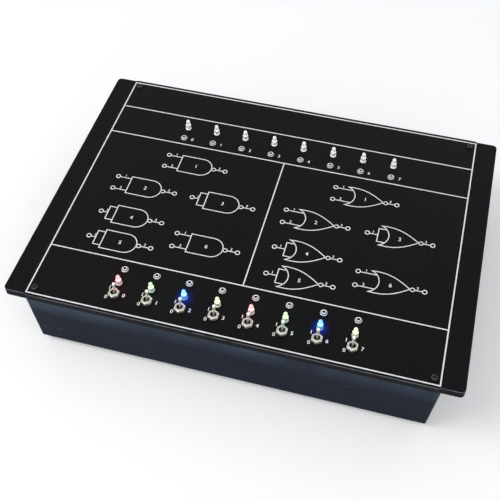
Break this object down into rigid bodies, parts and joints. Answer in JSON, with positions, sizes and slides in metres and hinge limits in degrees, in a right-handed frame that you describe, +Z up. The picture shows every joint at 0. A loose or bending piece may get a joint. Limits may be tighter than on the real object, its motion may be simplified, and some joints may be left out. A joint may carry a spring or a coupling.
{
  "type": "digital logic trainer",
  "caption": "Low black moulded case with a printed front panel of logic gate symbols, patch sockets, indicator lamps and a row of toggle switches.",
  "frame": {"origin": "on the table under the middle of the case", "axes": "+X to the right of the front panel, +Y towards its back edge, +Z up"},
  "size_m": [0.34, 0.247, 0.0744],
  "materials": {
    "case_plastic": "fine texture",
    "panel_print": "matte black with white printed lines",
    "black_screw": "black",
    "screw_steel": "zinc plated",
    "plated_metal": "nickel plated",
    "lever_chrome": "polished",
    "tinned_wire": "tinned",
    "lens_clear": "clear",
    "lens_red": "lit",
    "lens_green": "lit",
    "lens_blue": "lit",
    "lens_yellow": "lit",
    "switch_plastic": "moulded",
    "board_laminate": "solder resist",
    "black_moulding": "moulded",
    "chip_black": "moulded",
    "resistor_coat": "dipped",
    "capacitor_sleeve": "shrink sleeve",
    "sink_aluminium": "anodised",
    "fuse_glass": "clear",
    "terminal_green": "moulded",
    "core_steel": "laminated",
    "bobbin_nylon": "moulded",
    "winding_copper": "enamelled copper wire",
    "strap_steel": "zinc plated",
    "rocker_plastic": "moulded",
    "foot_rubber": "matte"
  },
  "bodies": {
    "case": {"bridge_rectifier": "black_moulding", "case_tub": "case_plastic", "foot_screws": "screw_steel", "front_panel": "panel_print", "fuse_clips": "tinned_wire", "heat_sink": "sink_aluminium", "inlet_blades": "tinned_wire", "inlet_screws": "black_screw", "input_lamp_bezels": "plated_metal", "input_lamps_blue": "lens_blue", "input_lamps_green": "lens_green", "input_lamps_red": "lens_red", "input_lamps_yellow": "lens_yellow", "input_sockets": "plated_metal", "lamp_bezel_nuts": "plated_metal", "lamp_driver_chip": "chip_black", "lamp_leads": "tinned_wire", "logic_board": "board_laminate", "mains_fuse": "fuse_glass", "mains_inlet": "black_moulding", "nand_chips": "chip_black", "nand_terminals": "plated_metal", "nor_chips": "chip_black", "nor_terminals": "plated_metal", "output_lamp_bezels": "plated_metal", "output_lamps": "lens_clear", "output_sockets": "plated_metal", "package_seats": "black_moulding", "panel_screws": "black_screw", "patch_socket_nuts": "plated_metal", "power_switch_frame": "black_moulding", "regulator_screw": "screw_steel", "resistor_networks": "resistor_coat", "rubber_feet": "foot_rubber", "smoothing_capacitor": "capacitor_sleeve", "supply_board": "board_laminate", "supply_board_screws": "screw_steel", "supply_terminals": "terminal_green", "switch_bodies": "switch_plastic", "switch_bushings": "plated_metal", "switch_lock_nuts": "plated_metal", "switch_nuts": "plated_metal", "switch_pins": "tinned_wire", "switch_washers": "plated_metal", "transformer_bobbin": "bobbin_nylon", "transformer_core": "core_steel", "transformer_screws": "screw_steel", "transformer_strap": "strap_steel", "transformer_winding": "winding_copper", "voltage_regulator": "black_moulding"},
    "lever_0": {"toggle_lever_0": "lever_chrome"},
    "lever_1": {"toggle_lever_1": "lever_chrome"},
    "lever_2": {"toggle_lever_2": "lever_chrome"},
    "lever_3": {"toggle_lever_3": "lever_chrome"},
    "lever_4": {"toggle_lever_4": "lever_chrome"},
    "lever_5": {"toggle_lever_5": "lever_chrome"},
    "lever_6": {"toggle_lever_6": "lever_chrome"},
    "lever_7": {"toggle_lever_7": "lever_chrome"},
    "power_rocker": {"power_rocker": "rocker_plastic"}
  },
  "joints": [
    {"name": "switch_0_toggle", "type": "hinge", "parent": "case", "child": "lever_0", "pos_m": [-0.0889, -0.1062, 0.0611], "axis": [1, 0, 0], "range_deg": [0, 25]},
    {"name": "switch_1_toggle", "type": "hinge", "parent": "case", "child": "lever_1", "pos_m": [-0.0635, -0.1062, 0.0611], "axis": [1, 0, 0], "range_deg": [0, 25]},
    {"name": "switch_2_toggle", "type": "hinge", "parent": "case", "child": "lever_2", "pos_m": [-0.0381, -0.1062, 0.0611], "axis": [1, 0, 0], "range_deg": [0, 25]},
    {"name": "switch_3_toggle", "type": "hinge", "parent": "case", "child": "lever_3", "pos_m": [-0.0127, -0.1062, 0.0611], "axis": [1, 0, 0], "range_deg": [0, 25]},
    {"name": "switch_4_toggle", "type": "hinge", "parent": "case", "child": "lever_4", "pos_m": [0.0127, -0.1062, 0.0611], "axis": [1, 0, 0], "range_deg": [0, 25]},
    {"name": "switch_5_toggle", "type": "hinge", "parent": "case", "child": "lever_5", "pos_m": [0.0381, -0.1062, 0.0611], "axis": [1, 0, 0], "range_deg": [0, 25]},
    {"name": "switch_6_toggle", "type": "hinge", "parent": "case", "child": "lever_6", "pos_m": [0.0635, -0.1062, 0.0611], "axis": [1, 0, 0], "range_deg": [0, 25]},
    {"name": "switch_7_toggle", "type": "hinge", "parent": "case", "child": "lever_7", "pos_m": [0.0889, -0.1062, 0.0611], "axis": [1, 0, 0], "range_deg": [0, 25]},
    {"name": "power_rocker_tip", "type": "hinge", "parent": "case", "child": "power_rocker", "pos_m": [0.1215, 0.1164, 0.026], "axis": [1, 0, 0], "range_deg": [-20, 0]}
  ]
}
